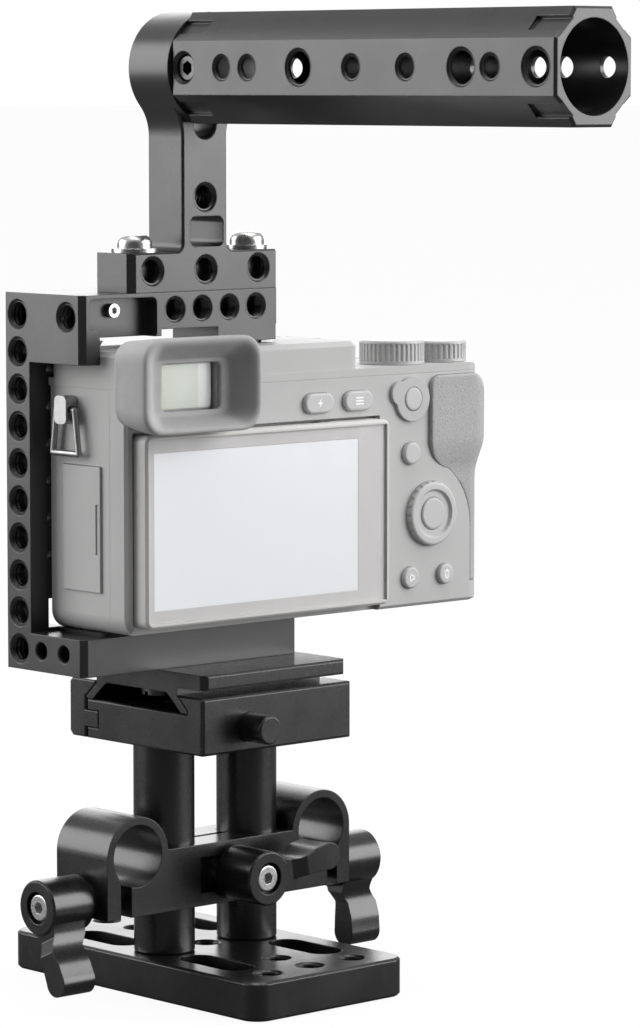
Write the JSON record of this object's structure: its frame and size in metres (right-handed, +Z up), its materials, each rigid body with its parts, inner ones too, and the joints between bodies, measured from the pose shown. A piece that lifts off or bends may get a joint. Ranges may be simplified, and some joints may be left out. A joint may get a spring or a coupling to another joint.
{
  "type": "cinema camera rig",
  "caption": "Camera rig: slotted baseplate, two posts, sliding rod clamp with levers, quick release, half cage with a mirrorless camera, and a tubular top handle.",
  "frame": {"origin": "centre of the baseplate's bottom face", "axes": "+X to the right as the operator sees it, +Y forward in the lens direction, +Z up"},
  "size_m": [0.1351, 0.1865, 0.2386],
  "materials": {
    "anodised_black": "satin black anodised",
    "anodised_grey": "satin dark grey anodised",
    "bright_steel": "bright zinc",
    "dark_steel": "black oxide",
    "camera_body": "pale grey, as the rig maker shows it",
    "camera_rubber": "grained pale grey",
    "camera_buttons": "satin pale grey",
    "camera_metal": "satin",
    "screen_surround": "warm pale grey",
    "display": "blank pale display",
    "clear_glass": "clear",
    "sensor_glass": "green-blue coated",
    "pad_rubber": "matt black"
  },
  "bodies": {
    "base": {"baseplate": "anodised_black", "post_left": "anodised_black", "post_right": "anodised_black", "post_screws": "dark_steel", "release_base": "anodised_black"},
    "rod_clamp": {"rod_clamp_block": "anodised_black", "clamp_washers": "bright_steel"},
    "left_lever": {"left_lever": "anodised_black", "left_lever_screw": "bright_steel"},
    "right_lever": {"right_lever": "anodised_black", "right_lever_screw": "bright_steel"},
    "post_lever": {"post_lever": "anodised_black", "post_lever_screw": "bright_steel"},
    "jaw": {"release_jaw": "anodised_black"},
    "jaw_knob": {"jaw_knob": "anodised_black", "jaw_screw": "dark_steel"},
    "lock_button": {"lock_button": "anodised_black"},
    "camera_unit": {"release_plate": "anodised_black", "plate_screws": "dark_steel", "cage_frame": "anodised_grey", "cage_screw": "bright_steel", "camera_screw": "bright_steel", "camera_pad": "pad_rubber", "handle_bracket": "anodised_grey", "handle_screws": "bright_steel", "handle_washers": "bright_steel", "handle_tube": "anodised_grey", "tube_set_screws": "dark_steel", "camera_shell": "camera_body", "camera_rear_cover": "camera_body", "camera_top_cover": "camera_body", "hand_grip": "camera_rubber", "thumb_rest": "camera_rubber", "lens_mount": "camera_metal", "image_sensor": "sensor_glass", "hot_shoe": "camera_metal", "eyecup": "camera_rubber", "eyepiece_glass": "clear_glass", "strap_lugs": "camera_metal"},
    "strap_ring": {"strap_ring": "camera_metal"},
    "screen_arm": {"screen_arm": "camera_body"},
    "screen": {"screen_frame": "screen_surround", "lcd_panel": "display", "screen_glass": "clear_glass"},
    "control_wheel": {"control_wheel": "camera_buttons"},
    "wheel_button": {"wheel_button": "camera_buttons"},
    "ael_switch": {"ael_switch": "camera_body"},
    "ael_button": {"ael_button": "camera_buttons"},
    "fn_button": {"fn_button": "camera_buttons"},
    "play_button": {"play_button": "camera_buttons"},
    "trash_button": {"trash_button": "camera_buttons"},
    "flash_button": {"flash_button": "camera_buttons"},
    "menu_button": {"menu_button": "camera_buttons"},
    "mode_dial": {"mode_dial": "camera_buttons"},
    "control_dial": {"control_dial": "camera_buttons"},
    "power_switch": {"power_switch": "camera_buttons"},
    "shutter_button": {"shutter_button": "camera_buttons"},
    "flash_head": {"flash_head": "camera_body"},
    "port_door": {"port_door": "camera_body"},
    "battery_door": {"battery_door": "camera_body"}
  },
  "joints": [
    {"name": "clamp_height", "type": "slide", "parent": "base", "child": "rod_clamp", "axis": [0, 0, 1], "range_m": [-0.009, 0.014]},
    {"name": "left_lever_turn", "type": "hinge", "parent": "rod_clamp", "child": "left_lever", "pos_m": [-0.047, 0, 0.025], "axis": [1, 0, 0], "range_deg": [-90, 120]},
    {"name": "right_lever_turn", "type": "hinge", "parent": "rod_clamp", "child": "right_lever", "pos_m": [0.047, 0, 0.025], "axis": [1, 0, 0], "range_deg": [-90, 120]},
    {"name": "post_lever_turn", "type": "hinge", "parent": "rod_clamp", "child": "post_lever", "pos_m": [0, -0.017, 0.0287], "axis": [0, 1, 0], "range_deg": [-100, 45]},
    {"name": "jaw_slide", "type": "slide", "parent": "base", "child": "jaw", "axis": [0, 1, 0], "range_m": [0, 0.003]},
    {"name": "jaw_knob_turn", "type": "hinge", "parent": "jaw", "child": "jaw_knob", "pos_m": [0, 0.028, 0.0663], "axis": [0, 1, 0], "range_deg": [0, 1081]},
    {"name": "lock_button_press", "type": "slide", "parent": "base", "child": "lock_button", "axis": [0, 1, 0], "range_m": [0, 0.003]},
    {"name": "plate_slide", "type": "slide", "parent": "base", "child": "camera_unit", "axis": [1, 0, 0], "range_m": [-0.012, 0.012]},
    {"name": "strap_ring_swing", "type": "hinge", "parent": "camera_unit", "child": "strap_ring", "pos_m": [-0.0439, 0, 0.1442], "axis": [0, 1, 0], "range_deg": [0, 70]},
    {"name": "screen_arm_swing", "type": "hinge", "parent": "camera_unit", "child": "screen_arm", "pos_m": [0, -0.0199, 0.1382], "axis": [1, 0, 0], "range_deg": [-25, 0]},
    {"name": "screen_tilt", "type": "hinge", "parent": "screen_arm", "child": "screen", "pos_m": [0, -0.0184, 0.094], "axis": [1, 0, 0], "range_deg": [0, 45]},
    {"name": "control_wheel_turn", "type": "hinge", "parent": "camera_unit", "child": "control_wheel", "pos_m": [0.0576, -0.02, 0.1141], "axis": [0, 1, 0], "continuous": true},
    {"name": "wheel_button_press", "type": "slide", "parent": "camera_unit", "child": "wheel_button", "axis": [0, 1, 0], "range_m": [0, 0.0006]},
    {"name": "ael_switch_turn", "type": "hinge", "parent": "camera_unit", "child": "ael_switch", "pos_m": [0.0509, -0.0205, 0.1432], "axis": [0, 1, 0], "range_deg": [-40, 0]},
    {"name": "ael_button_press", "type": "slide", "parent": "camera_unit", "child": "ael_button", "axis": [0, 1, 0], "range_m": [0, 0.0008]},
    {"name": "fn_button_press", "type": "slide", "parent": "camera_unit", "child": "fn_button", "axis": [0, 1, 0], "range_m": [0, 0.0008]},
    {"name": "play_button_press", "type": "slide", "parent": "camera_unit", "child": "play_button", "axis": [0, 1, 0], "range_m": [0, 0.0008]},
    {"name": "trash_button_press", "type": "slide", "parent": "camera_unit", "child": "trash_button", "axis": [0, 1, 0], "range_m": [0, 0.0008]},
    {"name": "flash_button_press", "type": "slide", "parent": "camera_unit", "child": "flash_button", "axis": [0, 1, 0], "range_m": [0, 0.0008]},
    {"name": "menu_button_press", "type": "slide", "parent": "camera_unit", "child": "menu_button", "axis": [0, 1, 0], "range_m": [0, 0.0008]},
    {"name": "mode_dial_turn", "type": "hinge", "parent": "camera_unit", "child": "mode_dial", "pos_m": [0.0534, -0.0104, 0.154], "axis": [0, 0, 1], "continuous": true},
    {"name": "control_dial_turn", "type": "hinge", "parent": "camera_unit", "child": "control_dial", "pos_m": [0.0691, -0.011, 0.154], "axis": [0, 0, 1], "continuous": true},
    {"name": "power_switch_turn", "type": "hinge", "parent": "camera_unit", "child": "power_switch", "pos_m": [0.064, 0.0195, 0.149], "axis": [0, 0, 1], "range_deg": [-50, 0]},
    {"name": "shutter_press", "type": "slide", "parent": "camera_unit", "child": "shutter_button", "axis": [0, 0, -1], "range_m": [0, 0.001]},
    {"name": "flash_raise", "type": "hinge", "parent": "camera_unit", "child": "flash_head", "pos_m": [0.024, -0.0059, 0.1575], "axis": [1, 0, 0], "range_deg": [0, 60]},
    {"name": "port_door_open", "type": "hinge", "parent": "camera_unit", "child": "port_door", "pos_m": [-0.042, 0.0024, 0.116], "axis": [0, 0, 1], "range_deg": [-100, 0]},
    {"name": "battery_door_open", "type": "hinge", "parent": "camera_unit", "child": "battery_door", "pos_m": [0.0605, -0.009, 0.0918], "axis": [1, 0, 0], "range_deg": [-95, 0]}
  ],
  "couplings": [
    {"joint": "jaw_knob_turn", "follows": "jaw_slide", "rad_per_m": 6283.2}
  ]
}
